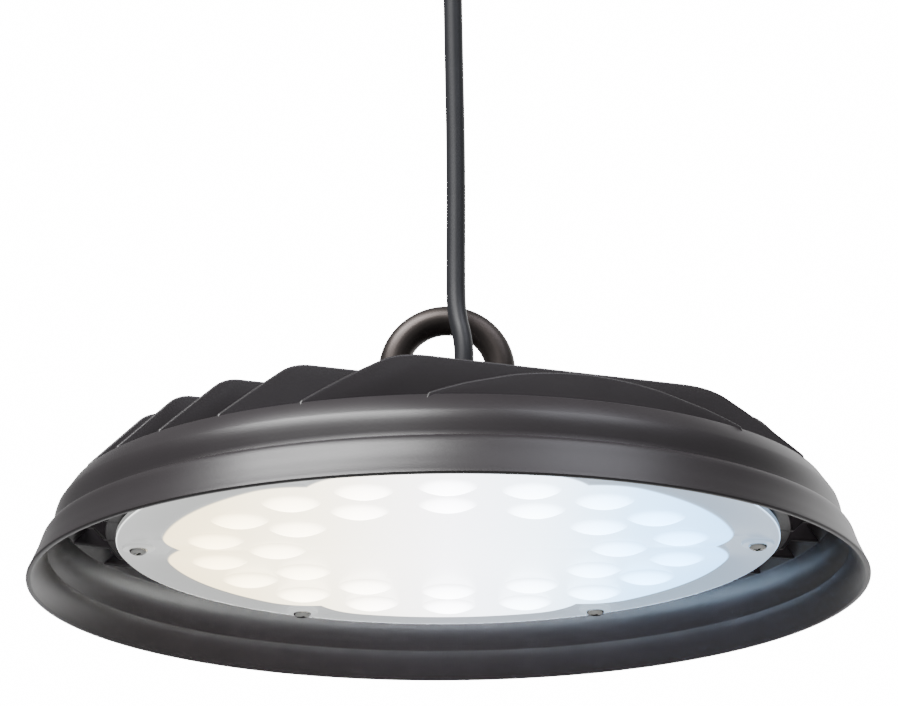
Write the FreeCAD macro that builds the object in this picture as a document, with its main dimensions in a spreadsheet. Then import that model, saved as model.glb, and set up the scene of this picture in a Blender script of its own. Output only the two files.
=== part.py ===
import FreeCAD, Part
import math
import os
import re

import Sketcher
from FreeCAD import Placement, Rotation, Vector

# A round LED high bay light. All heights are above the plane of the skirt's rim, all
# radii about the vertical axis, in millimetres. The near side is -Y. The whole light is
# set down so that the hook's bearing point inside the eye is the origin.

SIZES = {
    # Skirt and ring, from the rim inwards and upwards.
    "rim_radius": 170.0,
    "rim_wall": 2.2,
    "rim_round": 0.5,
    "lip_inset": 4.9,
    "lip_height": 9.4,
    "bulge_inset": 5.3,
    "bulge_rise": 3.8,
    "shoulder_inset": 6.1,
    "shoulder_rise": 3.2,
    "crown_out": 0.6,
    "shoulder_step": 0.5,
    "band_inset": 10.4,
    "band_taper": 0.9,
    "band_rise": 11.0,
    "chamfer_run": 5.7,
    "chamfer_rise": 7.9,
    "ring_wall": 2.8,
    "cone_wall": 3.2,
    "ring_top_width": 2.4,
    # Base plate that carries the board and the lens.
    "plate_height": 21.0,
    "plate_thickness": 5.0,
    "air_gap": 17.4,
    "plate_edge": 1.2,
    # Straight parallel fins under one domed envelope.
    "fin_pitch": 27.7,
    "fin_thickness": 2.4,
    "fin_angle": 22.3,
    "fin_rise": 33.5,
    "fin_shoulder_round": 13.2,
    "fin_foot_round": 1.2,
    "fin_foot_inset": 0.6,
    "fin_end_drop": 7.0,
    "fin_end_gap": 1.5,
    # Driver space in the middle, round the driver board.
    "hub_wall": 3.5,
    "hub_foot": 2.0,
    "hub_rise": 24.0,
    "pillar_radius": 5.0,
    "pillar_root": 1.0,
    "pillar_inset": 7.0,
    "driver_clearance": 5.0,
    "cover_screw_count": 6,
    # Lens plate.
    "lens_margin": 4.5,
    "flange_thickness": 3.0,
    "field_margin": 17.5,
    "field_depth": 1.5,
    "field_round": 1.1,
    "field_wall": 1.8,
    "field_rim": 8.5,
    "scallop_radius": 15.5,
    "lens_screw_margin": 8.8,
    "lens_screw_count": 6,
    "screw_boss_radius": 6.6,
    "screw_boss_depth": 0.9,
    "cell_radius": 11.6,
    "cell_depth": 3.0,
    "cell_gap": 25.8,
    "cell_margin": 21.7,
    "outer_cell_pitch": 33.0,
    "inner_cell_pitch": 36.0,
    # Gasket, board, pad and what holds them.
    "gasket_thickness": 1.0,
    "gasket_margin": 1.2,
    "pad_thickness": 0.3,
    "board_thickness": 1.6,
    "board_margin": 3.0,
    "led_width": 5.0,
    "led_height": 0.8,
    "board_screw_count": 6,
    "board_screw_margin": 4.5,
    "lens_screw_radius": 2.0,
    "lens_screw_head_radius": 3.8,
    "lens_screw_head_height": 2.0,
    "lens_screw_depth": 9.0,
    "lens_screw_post": 4.6,
    "lens_post_cap": 1.0,
    "board_screw_radius": 1.5,
    "board_screw_head_radius": 2.8,
    "board_screw_head_height": 1.5,
    "board_screw_depth": 3.5,
    "screw_clearance": 0.3,
    # Hub cover with its gasket and screws.
    "cover_thickness": 4.5,
    "cover_margin": 1.0,
    "cover_edge": 1.5,
    "cover_boss_radius": 14.5,
    "cover_boss_depth": 3.0,
    "cover_gasket_thickness": 1.0,
    "cover_screw_radius": 2.0,
    "cover_screw_head_radius": 3.8,
    "cover_screw_head_height": 2.4,
    "cover_screw_depth": 12.0,
    # Lifting eye bolt, its washer and its nut.
    "eye_outer_radius": 28.1,
    "eye_rod_radius": 6.1,
    "eye_lift": 6.5,
    "eye_collar_radius": 13.0,
    "eye_collar_height": 5.0,
    "eye_neck_radius": 9.5,
    "eye_neck_height": 6.0,
    "eye_shank_radius": 6.0,
    "eye_shank_depth": 17.0,
    "eye_washer_radius": 12.0,
    "eye_washer_thickness": 1.6,
    "eye_nut_flats": 19.0,
    "eye_nut_height": 6.0,
    # Cable gland beside the eye, on its near side.
    "gland_x": 6.8,
    "gland_y": -27.2,
    "gland_thread_radius": 8.0,
    "gland_thread_depth": 6.5,
    "gland_flats": 21.0,
    "gland_flange_height": 4.5,
    "gland_neck_height": 7.0,
    "gland_seat_radius": 6.2,
    "gland_bore_radius": 5.0,
    "gland_locknut_height": 4.0,
    "dome_flats": 20.0,
    "dome_hex_height": 7.5,
    "dome_height": 13.5,
    "dome_top_radius": 5.8,
    "dome_gap": 0.3,
    "o_ring_width": 1.6,
    "o_ring_thickness": 1.2,
    "seal_height": 9.5,
    # Pressure-equalising plug.
    "breather_x": -34.0,
    "breather_y": -12.0,
    "breather_radius": 6.0,
    "breather_head_radius": 8.5,
    "breather_head_height": 5.0,
    "breather_head_straight": 3.5,
    "breather_depth": 3.5,
    # Driver board and what stands on it.
    "driver_radius": 55.0,
    "driver_thickness": 1.6,
    "standoff_height": 5.0,
    "standoff_flats": 6.0,
    "standoff_inset": 7.0,
    "standoff_count": 4,
    "transformer_x": 31.0,
    "transformer_y": 8.0,
    "transformer_length": 24.0,
    "transformer_width": 20.0,
    "transformer_height": 13.0,
    "capacitor_radius": 6.5,
    "capacitor_height": 13.0,
    "capacitor_pitch": 15.0,
    "capacitor_y": 31.0,
    "choke_x": -34.0,
    "choke_y": 10.0,
    "choke_radius": 6.5,
    "choke_rod": 3.2,
    "switch_x": 26.0,
    "switch_y": -22.0,
    "switch_pitch": 13.0,
    "switch_width": 10.0,
    "switch_thickness": 4.5,
    "switch_height": 12.0,
    "terminal_length": 20.0,
    "terminal_width": 9.0,
    "terminal_height": 8.0,
    "terminal_offset": 18.0,
    "terminal_pitch": 6.0,
    "lead_x": -22.0,
    "lead_y": -34.0,
    "lead_radius": 1.0,
    "lead_pitch": 3.4,
    "grommet_radius": 4.5,
    # Cord and its three cores.
    "cord_diameter": 7.8,
    "jacket_below_gland": 1.0,
    "core_diameter": 2.4,
    "core_circle": 1.7,
    "core_free_length": 24.0,
    "core_above_board": 4.0,
    "earth_above_board": 1.4,
    "ferrule_radius": 1.35,
    "ferrule_length": 9.0,
}

# Heights and radii that follow from the sizes.
LEVELS = {
    "lip_radius": "rim_radius - lip_inset",
    "bulge_radius": "rim_radius - bulge_inset",
    "bulge_height": "lip_height + bulge_rise",
    "shoulder_radius": "rim_radius - shoulder_inset",
    "crown_radius": "(bulge_radius + shoulder_radius) / 2 + crown_out / 2",
    "crown_height": "(bulge_height + shoulder_height) / 2 + crown_out / 2",
    "shoulder_height": "bulge_height + shoulder_rise",
    "band_radius": "rim_radius - band_inset",
    "band_top_radius": "band_radius - band_taper",
    "band_height": "shoulder_height + band_rise",
    "ring_radius": "band_top_radius - chamfer_run",
    "ring_height": "band_height + chamfer_rise",
    "ring_inner_radius": "band_top_radius - ring_wall",
    "plate_radius": "ring_inner_radius - air_gap",
    "plate_top": "plate_height + plate_thickness",
    "fin_top": "plate_top + fin_rise",
    "fin_foot_radius": "ring_radius - fin_foot_inset",
    "fin_head_radius": "fin_foot_radius - (fin_top - ring_height)",
    "pillar_circle": "driver_radius + driver_clearance + pillar_radius",
    "hub_radius": "pillar_circle + pillar_inset",
    "hub_inner_radius": "hub_radius - hub_wall",
    "hub_top": "plate_top + hub_rise",
    "lens_radius": "plate_radius - lens_margin",
    "lens_top": "plate_height - gasket_thickness",
    "flange_bottom": "lens_top - flange_thickness",
    "field_radius": "lens_radius - field_margin",
    "field_bottom": "flange_bottom - field_depth",
    "field_inner_radius": "field_radius - field_rim",
    "field_floor": "field_bottom + field_wall",
    "lens_screw_circle": "lens_radius - lens_screw_margin",
    "cell_bow": "(cell_radius * cell_radius + cell_depth * cell_depth) / (2 * cell_depth)",
    "boss_bottom": "flange_bottom - screw_boss_depth",
    "outer_cell_circle": "field_radius - cell_margin",
    "inner_cell_circle": "outer_cell_circle - cell_gap",
    "outer_cells": "floor(2 * pi * outer_cell_circle / outer_cell_pitch)",
    "inner_cells": "floor(2 * pi * inner_cell_circle / inner_cell_pitch)",
    "board_radius": "field_inner_radius - board_margin",
    "board_top": "plate_height - pad_thickness",
    "board_bottom": "board_top - board_thickness",
    "cover_radius": "hub_radius - cover_margin",
    "cover_bottom": "hub_top + cover_gasket_thickness",
    "cover_top": "cover_bottom + cover_thickness",
    "eye_height": "cover_top + eye_lift + eye_outer_radius",
    "eye_ring_radius": "eye_outer_radius - eye_rod_radius",
    "bearing_height": "eye_height + eye_outer_radius - 2 * eye_rod_radius",
    "eye_washer_top": "cover_bottom - cover_boss_depth",
    "eye_nut_top": "eye_washer_top - eye_washer_thickness",
    "gland_flange_top": "cover_top + gland_flange_height",
    "gland_neck_top": "gland_flange_top + gland_neck_height",
    "gland_bottom": "cover_bottom - gland_thread_depth",
    "dome_bottom": "gland_flange_top + dome_gap",
    "dome_top": "dome_bottom + dome_height",
    "cord_radius": "cord_diameter / 2",
    "driver_bottom": "plate_top + standoff_height",
    "driver_top": "driver_bottom + driver_thickness",
    "standoff_circle": "driver_radius - standoff_inset",
    "board_screw_circle": "board_radius - board_screw_margin",
    "terminal_y": "gland_y - terminal_offset",
}

# Points of the cord's route from the gland's axis and the dome nut's top.
CORD_ROUTE = [
    (0.0, 0.0, 10.0),
    (-2.4, 5.2, 51.0),
    (-2.1, 8.6, 100.0),
    (-2.8, 10.4, 155.0),
    (-3.4, 11.2, 209.0),
]

doc = FreeCAD.newDocument("high_bay_light")
sheet = doc.addObject("Spreadsheet::Sheet", "sizes")
for row, (name, number) in enumerate(SIZES.items(), 1):
    sheet.set("A%d" % row, name)
    sheet.set("B%d" % row, str(number))
    sheet.setAlias("B%d" % row, name)
doc.recompute()

levels = doc.addObject("App::VarSet", "levels")
words = re.compile(r"[a-z][a-z_]*[a-z]")
for name, formula in LEVELS.items():
    levels.addProperty("App::PropertyFloat", name, "Levels")
for name, formula in LEVELS.items():
    bound = words.sub(lambda w: "sizes." + w.group() if w.group() in SIZES else w.group(), formula)
    levels.setExpression(name, bound)
doc.recompute()

size = {name: float(sheet.get(name)) for name in SIZES}
size.update({name: float(getattr(levels, name)) for name in LEVELS})


def bound_text(formula):
    """The formula with every named size written as a cell or a level."""

    def place(word):
        name = word.group()
        if name in SIZES:
            return "sizes." + name
        if name in LEVELS:
            return "levels." + name
        return name

    return words.sub(place, str(formula))


def bind(thing, **formulas):
    """Bind properties of an object to formulas; a double underscore stands for a dot."""
    for name, formula in formulas.items():
        thing.setExpression(name.replace("__", "."), bound_text(formula))
    return thing


def primitive(kind, name, x="0", y="0", z="0", **formulas):
    """A Part primitive, placed and sized by formulas."""
    thing = doc.addObject("Part::" + kind, name)
    bind(thing, **formulas)
    bind(thing, Placement__Base__x=x, Placement__Base__y=y, Placement__Base__z=z)
    return thing


def rod(name, radius, low, high, x="0", y="0"):
    """An upright cylinder between two heights."""
    height = "(%s) - (%s)" % (high, low)
    return primitive("Cylinder", name, x, y, low, Radius=radius, Height=height)


def hexagon(name, flats, low, high, x="0", y="0"):
    """An upright hexagonal prism between two heights."""
    return primitive(
        "Prism",
        name,
        x,
        y,
        low,
        Polygon="6",
        Circumradius="(%s) / sqrt(3)" % flats,
        Height="(%s) - (%s)" % (high, low),
    )


def turned(name, corners, x="0", y="0", z="0"):
    """A solid of revolution about the upright axis from corners (radius, height)."""
    sketch = doc.addObject("Sketcher::SketchObject", name + "_profile")
    sketch.Placement = Placement(Vector(), Rotation(Vector(1, 0, 0), 90))
    count = len(corners)
    guess = []
    for i in range(count):
        turn = 2 * math.pi * i / count
        guess.append(Vector(100 + 50 * math.cos(turn), 100 + 50 * math.sin(turn), 0))
    for i in range(count):
        sketch.addGeometry(Part.LineSegment(guess[i], guess[(i + 1) % count]), False)
    for i in range(count):
        sketch.addConstraint(Sketcher.Constraint("Coincident", i, 2, (i + 1) % count, 1))
    for i, (radius, height) in enumerate(corners):
        if radius == "0":
            sketch.addConstraint(Sketcher.Constraint("PointOnObject", i, 1, -2))
        else:
            k = sketch.addConstraint(Sketcher.Constraint("DistanceX", -1, 1, i, 1, guess[i].x))
            sketch.setExpression("Constraints[%d]" % k, bound_text(radius))
        k = sketch.addConstraint(Sketcher.Constraint("DistanceY", -1, 1, i, 1, guess[i].y))
        sketch.setExpression("Constraints[%d]" % k, bound_text(height))
    solid = doc.addObject("Part::Revolution", name)
    solid.Source = sketch
    solid.Axis = Vector(0, 0, 1)
    solid.Base = Vector(0, 0, 0)
    solid.Angle = 360
    solid.Solid = True
    bind(solid, Placement__Base__x=x, Placement__Base__y=y, Placement__Base__z=z)
    return solid


def fused(name, *things):
    """One solid of several that meet."""
    solid = doc.addObject("Part::MultiFuse", name)
    solid.Shapes = list(things)
    solid.Refine = True
    return solid


def cut(name, base, tool):
    """A solid with another taken away."""
    solid = doc.addObject("Part::Cut", name)
    solid.Base = base
    solid.Tool = tool
    solid.Refine = True
    return solid


def around(name, source, radius, count, start=0.0):
    """Copies of a piece on a circle, counted from the near side."""
    doc.recompute()
    copies = []
    for i in range(int(round(count))):
        turn = math.radians(start + 360.0 * i / count)
        copy = source.Shape.copy()
        copy.rotate(Vector(), Vector(0, 0, 1), math.degrees(turn))
        copy.translate(Vector(radius * math.sin(turn), -radius * math.cos(turn), 0))
        copies.append(copy)
    group = doc.addObject("Part::Feature", name)
    group.Shape = Part.makeCompound(copies)
    return group


PIECES = []


def piece(node, *things):
    """A finished sub-part under its own label, set down from the hook's bearing point."""
    whole = doc.addObject("Part::Compound", node)
    whole.Label = node
    whole.Links = list(things)
    bind(whole, Placement__Base__z="-bearing_height")
    PIECES.append(whole)
    return whole


def screw(name, radius, head_radius, head_height, seat, tip, up):
    """A cheese-head screw: its head beyond the seat, above it or below it, its shank to the tip."""
    sign = "+" if up else "-"
    crown = "%s %s %s" % (seat, sign, head_height)
    return turned(
        name,
        [
            ("0", crown),
            (head_radius, crown),
            (head_radius, seat),
            (radius, seat),
            (radius, tip),
            ("0", tip),
        ],
    )


def tube(name, points, radius):
    """A round tube along straight runs joined by tangent arcs; prints its arcs' radii."""
    edges, radii, start = [], [], points[0]
    for before, corner, after in zip(points, points[1:], points[2:]):
        into, out = (corner - before).normalize(), (after - corner).normalize()
        half_turn = into.getAngle(out) / 2
        reach = 0.45 * min((corner - before).Length, (after - corner).Length)
        bow = reach / math.tan(half_turn)
        a, c = corner - into * reach, corner + out * reach
        centre_way = (out - into).normalize()
        middle = corner + centre_way * (bow / math.cos(half_turn) - bow)
        edges.append(Part.LineSegment(start, a).toShape())
        edges.append(Part.Arc(a, middle, c).toShape())
        radii.append(round(bow, 1))
        start = c
    edges.append(Part.LineSegment(start, points[-1]).toShape())
    path = Part.Wire(edges)
    way = (points[1] - points[0]).normalize()
    ring = Part.Wire([Part.makeCircle(radius, points[0], way)])
    body = doc.addObject("Part::Feature", name)
    body.Shape = path.makePipeShell([ring], True, True)
    ideal = math.pi * radius ** 2 * path.Length
    share = body.Shape.Volume / ideal
    print(name, "length %.1f" % path.Length, "radii", radii, "volume share %.4f" % share)
    return body


# Housing: one aluminium casting.

# The skirt and ring are one thin wall: rim, lip, bulged shoulder, band and chamfer.
skirt = turned(
    "skirt",
    [
        ("rim_radius - rim_wall", "0"),
        ("rim_radius - rim_round", "0"),
        ("rim_radius", "rim_round"),
        ("lip_radius", "lip_height"),
        ("bulge_radius", "bulge_height"),
        ("crown_radius", "crown_height"),
        ("shoulder_radius", "shoulder_height"),
        ("band_radius", "shoulder_height + shoulder_step"),
        ("band_top_radius", "band_height"),
        ("ring_radius", "ring_height"),
        ("ring_radius - ring_top_width", "ring_height"),
        ("ring_radius - ring_top_width", "ring_height - ring_wall"),
        ("ring_inner_radius", "band_height - ring_wall / 2"),
        ("band_radius - ring_wall", "shoulder_height"),
        ("bulge_radius - cone_wall", "bulge_height - cone_wall / 2"),
    ],
)

# The base plate and the wall of the driver space are turned together.
plate = turned(
    "plate",
    [
        ("0", "plate_height"),
        ("plate_radius", "plate_height"),
        ("plate_radius", "plate_top - plate_edge"),
        ("plate_radius - plate_edge", "plate_top"),
        ("hub_radius + hub_foot", "plate_top"),
        ("hub_radius", "plate_top + hub_foot"),
        ("hub_radius", "hub_top"),
        ("hub_inner_radius", "hub_top"),
        ("hub_inner_radius", "plate_top"),
        ("0", "plate_top"),
    ],
)

# Pillars for the cover's screws stand on the plate inside the driver space, posts for the
# lens screws outside it. Each circle of screws starts half a step off the near side.
lens_start = 180.0 / size["lens_screw_count"]
cover_start = 180.0 / size["cover_screw_count"]
standoff_start = 180.0 / size["standoff_count"]
pillar = rod("pillar", "pillar_radius", "plate_top - pillar_root", "hub_top")
pillars = around("pillars", pillar, size["pillar_circle"], size["cover_screw_count"], cover_start)
post = rod("post", "lens_screw_post", "plate_height", "plate_height + lens_screw_depth + lens_post_cap")
posts = around("posts", post, size["lens_screw_circle"], size["lens_screw_count"], lens_start)

# The tops of the fins follow one domed envelope about the axis: full height from the hub
# outwards, a rounded shoulder, a slope of 45 degrees and a foot at the ring's outer edge.
SLOPE = math.radians(45)


def envelope_height(radius):
    """Height of the fins' envelope at a distance from the axis."""
    foot = size["fin_foot_radius"]
    head = size["fin_head_radius"]
    foot_reach = size["fin_foot_round"] * math.tan(SLOPE / 2)
    head_reach = size["fin_shoulder_round"] * math.tan(SLOPE / 2)
    if radius >= foot + foot_reach:
        return size["ring_height"]
    if radius > foot - foot_reach * math.cos(SLOPE):
        along = foot + foot_reach - radius
        bow = size["fin_foot_round"]
        return size["ring_height"] + bow - math.sqrt(bow ** 2 - along ** 2)
    if radius > head + head_reach * math.cos(SLOPE):
        return size["ring_height"] + foot - radius
    if radius > head - head_reach:
        along = radius - (head - head_reach)
        bow = size["fin_shoulder_round"]
        return size["fin_top"] - bow + math.sqrt(bow ** 2 - along ** 2)
    return size["fin_top"]


def fin_blade(middle):
    """One straight fin, or its two halves where it runs into the hub."""
    wall = size["ring_wall"] / 2
    foot = size["fin_foot_radius"]
    head = size["fin_head_radius"]
    foot_reach = size["fin_foot_round"] * math.tan(SLOPE / 2)
    head_reach = size["fin_shoulder_round"] * math.tan(SLOPE / 2)
    slant = math.cos(SLOPE)
    joints = [head - head_reach, head + head_reach * slant, foot - foot_reach * slant, foot + foot_reach]
    ends = [
        (size["ring_radius"], size["ring_height"] - wall / 2),
        (size["band_top_radius"] - wall, size["band_height"] - wall / 2),
        (size["band_radius"] - wall, size["plate_height"]),
    ]
    root = [
        (size["hub_radius"] - size["hub_wall"] / 2, size["plate_height"]),
        (size["hub_radius"] - size["hub_wall"] / 2, size["hub_top"] - size["cover_edge"]),
        (size["hub_radius"] + size["fin_end_gap"], size["hub_top"] - size["cover_edge"]),
        (size["hub_radius"] + size["fin_end_gap"], size["fin_top"] - size["fin_end_drop"]),
        (size["hub_radius"] + size["fin_end_gap"] + size["fin_end_drop"], size["fin_top"]),
    ]
    side = middle - size["fin_thickness"] / 2
    crosses_hub = abs(middle) < size["hub_radius"] + size["fin_end_gap"]

    def at(radius, height):
        return Vector(math.sqrt(radius ** 2 - middle ** 2), side, height)

    def crest(x):
        return Vector(x, side, envelope_height(math.hypot(x, middle)))

    def mirrored(points):
        return [Vector(-p.x, p.y, p.z) for p in reversed(points)]

    stations = [math.sqrt(r ** 2 - middle ** 2) for r in joints if r > abs(middle)]
    right = []
    for start, stop in zip(stations, stations[1:]):
        a, b, c = crest(start), crest((start + stop) / 2), crest(stop)
        straight = b.distanceToLine(a, c - a) < 0.01
        right.append(Part.makeLine(a, c) if straight else Part.Arc(a, b, c).toShape())
    right_end = [crest(stations[-1])] + [at(*spot) for spot in ends]
    right += [Part.makeLine(a, b) for a, b in zip(right_end, right_end[1:])]
    if crosses_hub:
        inner = [at(*spot) for spot in root]
        path = [right_end[-1]] + inner + [crest(stations[0])]
        right += [Part.makeLine(a, b) for a, b in zip(path, path[1:])]
        outline = Part.Wire(Part.__sortEdges__(right))
        halves = [outline, outline.mirror(Vector(), Vector(1, 0, 0))]
        depth = Vector(0, size["fin_thickness"], 0)
        return [Part.Face(Part.Wire(half.Edges)).extrude(depth) for half in halves]
    left = [edge.mirror(Vector(), Vector(1, 0, 0)) for edge in right]
    first = crest(stations[0])
    if abs(middle) < joints[0]:
        top = Part.makeLine(first, crest(-stations[0]))
    else:
        top = Part.Arc(crest(-stations[0]), crest(0), first).toShape()
    bottom = Part.makeLine(right_end[-1], mirrored(right_end)[0])
    outline = Part.Wire(Part.__sortEdges__(right + left + [top, bottom]))
    return [Part.Face(outline).extrude(Vector(0, size["fin_thickness"], 0))]


fin_side = int((size["ring_inner_radius"] - size["fin_thickness"]) / size["fin_pitch"])
fins = []
for i in range(-fin_side, fin_side + 1):
    fins += fin_blade(i * size["fin_pitch"])
fin_group = doc.addObject("Part::Feature", "fins")
fin_group.Shape = Part.makeCompound(fins)
bind(fin_group, Placement__Rotation__Angle="fin_angle")

# Blind holes for the screws that enter the casting, and the way through for the leads.
lens_hole = rod("lens_hole", "lens_screw_radius", "plate_height", "plate_height + lens_screw_depth")
lens_holes = around(
    "lens_holes", lens_hole, size["lens_screw_circle"], size["lens_screw_count"], lens_start
)
board_hole = rod("board_hole", "board_screw_radius", "plate_height", "plate_height + board_screw_depth")
board_holes = around("board_holes", board_hole, size["board_screw_circle"], size["board_screw_count"])
cover_hole = rod("cover_hole", "cover_screw_radius", "hub_top - cover_screw_depth", "hub_top")
cover_holes = around(
    "cover_holes", cover_hole, size["pillar_circle"], size["cover_screw_count"], cover_start
)
driver_hole = rod("driver_hole", "board_screw_radius", "plate_top - board_screw_depth", "plate_top")
driver_holes = around(
    "driver_holes", driver_hole, size["standoff_circle"], size["standoff_count"], standoff_start
)
lead_hole = rod("lead_hole", "grommet_radius", "plate_height", "plate_top", "lead_x", "lead_y")
casting = fused("casting", skirt, plate, pillars, posts, fin_group)
holes = fused("casting_holes", lens_holes, board_holes, cover_holes, driver_holes, lead_hole)
piece("housing", cut("housing_casting", casting, holes))

# Lens plate: clear polycarbonate, one moulding.

lens_blank = turned(
    "lens_blank",
    [
        ("0", "field_bottom"),
        ("field_radius - field_round", "field_bottom"),
        ("field_radius", "field_bottom + field_round"),
        ("field_radius", "flange_bottom"),
        ("lens_radius", "flange_bottom"),
        ("lens_radius", "lens_top"),
        ("field_inner_radius", "lens_top"),
        ("field_inner_radius", "field_floor"),
        ("0", "field_floor"),
    ],
)
# The raised field draws back from each screw in a scallop.
scallop = turned(
    "scallop",
    [
        ("0", "field_bottom"),
        ("scallop_radius + field_round", "field_bottom"),
        ("scallop_radius", "field_bottom + field_round"),
        ("scallop_radius", "flange_bottom"),
        ("0", "flange_bottom"),
    ],
)
scallops = around("scallops", scallop, size["lens_screw_circle"], size["lens_screw_count"], lens_start)
lens_field = cut("lens_field", lens_blank, scallops)
screw_boss = rod("screw_boss", "screw_boss_radius", "boss_bottom", "flange_bottom")
screw_bosses = around(
    "screw_bosses", screw_boss, size["lens_screw_circle"], size["lens_screw_count"], lens_start
)
# Each cell is a shallow dome over one LED.
cell = primitive(
    "Sphere",
    "cell",
    z="field_bottom + cell_bow - cell_depth",
    Radius="cell_bow",
    Angle1="-90",
    Angle2="-acos(cell_radius / cell_bow)",
)
outer_ring = around("outer_ring", cell, size["outer_cell_circle"], size["outer_cells"])
inner_ring = around("inner_ring", cell, size["inner_cell_circle"], size["inner_cells"])
lens_solid = fused("lens_solid", lens_field, screw_bosses, outer_ring, inner_ring)
lens_bore = rod("lens_bore", "lens_screw_radius + screw_clearance", "boss_bottom", "plate_height")
lens_bores = around("lens_bores", lens_bore, size["lens_screw_circle"], size["lens_screw_count"], lens_start)
piece("lens", cut("lens_plate", lens_solid, lens_bores))

gasket_ring = turned(
    "gasket_ring",
    [
        ("lens_screw_circle - lens_screw_post", "lens_top"),
        ("lens_radius - gasket_margin", "lens_top"),
        ("lens_radius - gasket_margin", "plate_height"),
        ("lens_screw_circle - lens_screw_post", "plate_height"),
    ],
)
piece("lens_gasket", cut("gasket_cut", gasket_ring, lens_bores))

lens_screw = screw(
    "lens_screw",
    "lens_screw_radius",
    "lens_screw_head_radius",
    "lens_screw_head_height",
    "boss_bottom",
    "plate_height + lens_screw_depth",
    up=False,
)
piece(
    "lens_screws",
    around("lens_screw_set", lens_screw, size["lens_screw_circle"], size["lens_screw_count"], lens_start),
)

# LED board on its thermal pad.

board_bore = rod("board_bore", "board_screw_radius + screw_clearance", "board_bottom", "plate_height")
board_bores = around("board_bores", board_bore, size["board_screw_circle"], size["board_screw_count"])
board_disc = rod("board_disc", "board_radius", "board_bottom", "board_top")
piece("led_board", cut("board_cut", board_disc, board_bores))

pad_disc = rod("pad_disc", "board_radius", "board_top", "plate_height")
pad_lead_hole = rod("pad_lead_hole", "grommet_radius", "board_top", "plate_height", "lead_x", "lead_y")
pad_holes = fused("pad_holes", board_bores, pad_lead_hole)
piece("thermal_pad", cut("pad_cut", pad_disc, pad_holes))

led = primitive(
    "Box",
    "led",
    "-led_width / 2",
    "-led_width / 2",
    "board_bottom - led_height",
    Length="led_width",
    Width="led_width",
    Height="led_height",
)
outer_leds = around("outer_leds", led, size["outer_cell_circle"], size["outer_cells"])
inner_leds = around("inner_leds", led, size["inner_cell_circle"], size["inner_cells"])
piece("leds", outer_leds, inner_leds)

board_screw = screw(
    "board_screw",
    "board_screw_radius",
    "board_screw_head_radius",
    "board_screw_head_height",
    "board_bottom",
    "plate_height + board_screw_depth",
    up=False,
)
piece(
    "board_screws",
    around("board_screw_set", board_screw, size["board_screw_circle"], size["board_screw_count"]),
)

# Hub cover, sealed and screwed on the driver space.

cover_blank = turned(
    "cover_blank",
    [
        ("0", "eye_washer_top"),
        ("cover_boss_radius", "eye_washer_top"),
        ("cover_boss_radius", "cover_bottom"),
        ("cover_radius", "cover_bottom"),
        ("cover_radius", "cover_top - cover_edge"),
        ("cover_radius - cover_edge", "cover_top"),
        ("0", "cover_top"),
    ],
)
cover_bore = rod("cover_bore", "cover_screw_radius + screw_clearance", "hub_top", "cover_top")
cover_bores = around(
    "cover_bores", cover_bore, size["pillar_circle"], size["cover_screw_count"], cover_start
)
eye_hole = rod("eye_hole", "eye_shank_radius", "eye_washer_top", "cover_top")
gland_hole = rod("gland_hole", "gland_thread_radius", "cover_bottom", "cover_top", "gland_x", "gland_y")
breather_hole = rod(
    "breather_hole", "breather_radius", "cover_bottom", "cover_top", "breather_x", "breather_y"
)
cover_ways = fused("cover_ways", cover_bores, eye_hole, gland_hole, breather_hole)
piece("hub_cover", cut("cover_cut", cover_blank, cover_ways))

cover_seal = turned(
    "cover_seal",
    [
        ("pillar_circle - pillar_radius", "hub_top"),
        ("cover_radius", "hub_top"),
        ("cover_radius", "cover_bottom"),
        ("pillar_circle - pillar_radius", "cover_bottom"),
    ],
)
piece("cover_gasket", cut("cover_seal_cut", cover_seal, cover_bores))

cover_screw = screw(
    "cover_screw",
    "cover_screw_radius",
    "cover_screw_head_radius",
    "cover_screw_head_height",
    "cover_top",
    "hub_top - cover_screw_depth",
    up=True,
)
piece(
    "cover_screws",
    around("cover_screw_set", cover_screw, size["pillar_circle"], size["cover_screw_count"], cover_start),
)

# Lifting eye bolt through the cover, with washer and nut below.

eye_ring = primitive(
    "Torus", "eye_ring", z="eye_height", Radius1="eye_ring_radius", Radius2="eye_rod_radius"
)
eye_ring.Placement = Placement(Vector(), Rotation(Vector(1, 0, 0), 90))
eye_stem = turned(
    "eye_stem",
    [
        ("0", "cover_top - eye_shank_depth"),
        ("eye_shank_radius", "cover_top - eye_shank_depth"),
        ("eye_shank_radius", "cover_top"),
        ("eye_collar_radius", "cover_top"),
        ("eye_collar_radius", "cover_top + eye_collar_height / 2"),
        ("eye_neck_radius", "cover_top + eye_collar_height"),
        ("eye_rod_radius", "cover_top + eye_collar_height + eye_neck_height"),
        ("0", "cover_top + eye_collar_height + eye_neck_height"),
    ],
)
piece("eye_bolt", fused("eye_forging", eye_ring, eye_stem))

washer_disc = rod("washer_disc", "eye_washer_radius", "eye_nut_top", "eye_washer_top")
washer_bore = rod("washer_bore", "eye_shank_radius + screw_clearance", "eye_nut_top", "eye_washer_top")
piece("eye_washer", cut("washer_cut", washer_disc, washer_bore))
eye_hex = hexagon("eye_hex", "eye_nut_flats", "eye_nut_top - eye_nut_height", "eye_nut_top")
eye_bore = rod("eye_bore", "eye_shank_radius", "eye_nut_top - eye_nut_height", "eye_nut_top")
piece("eye_nut", cut("eye_nut_cut", eye_hex, eye_bore))

# Cable gland beside the eye.

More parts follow.
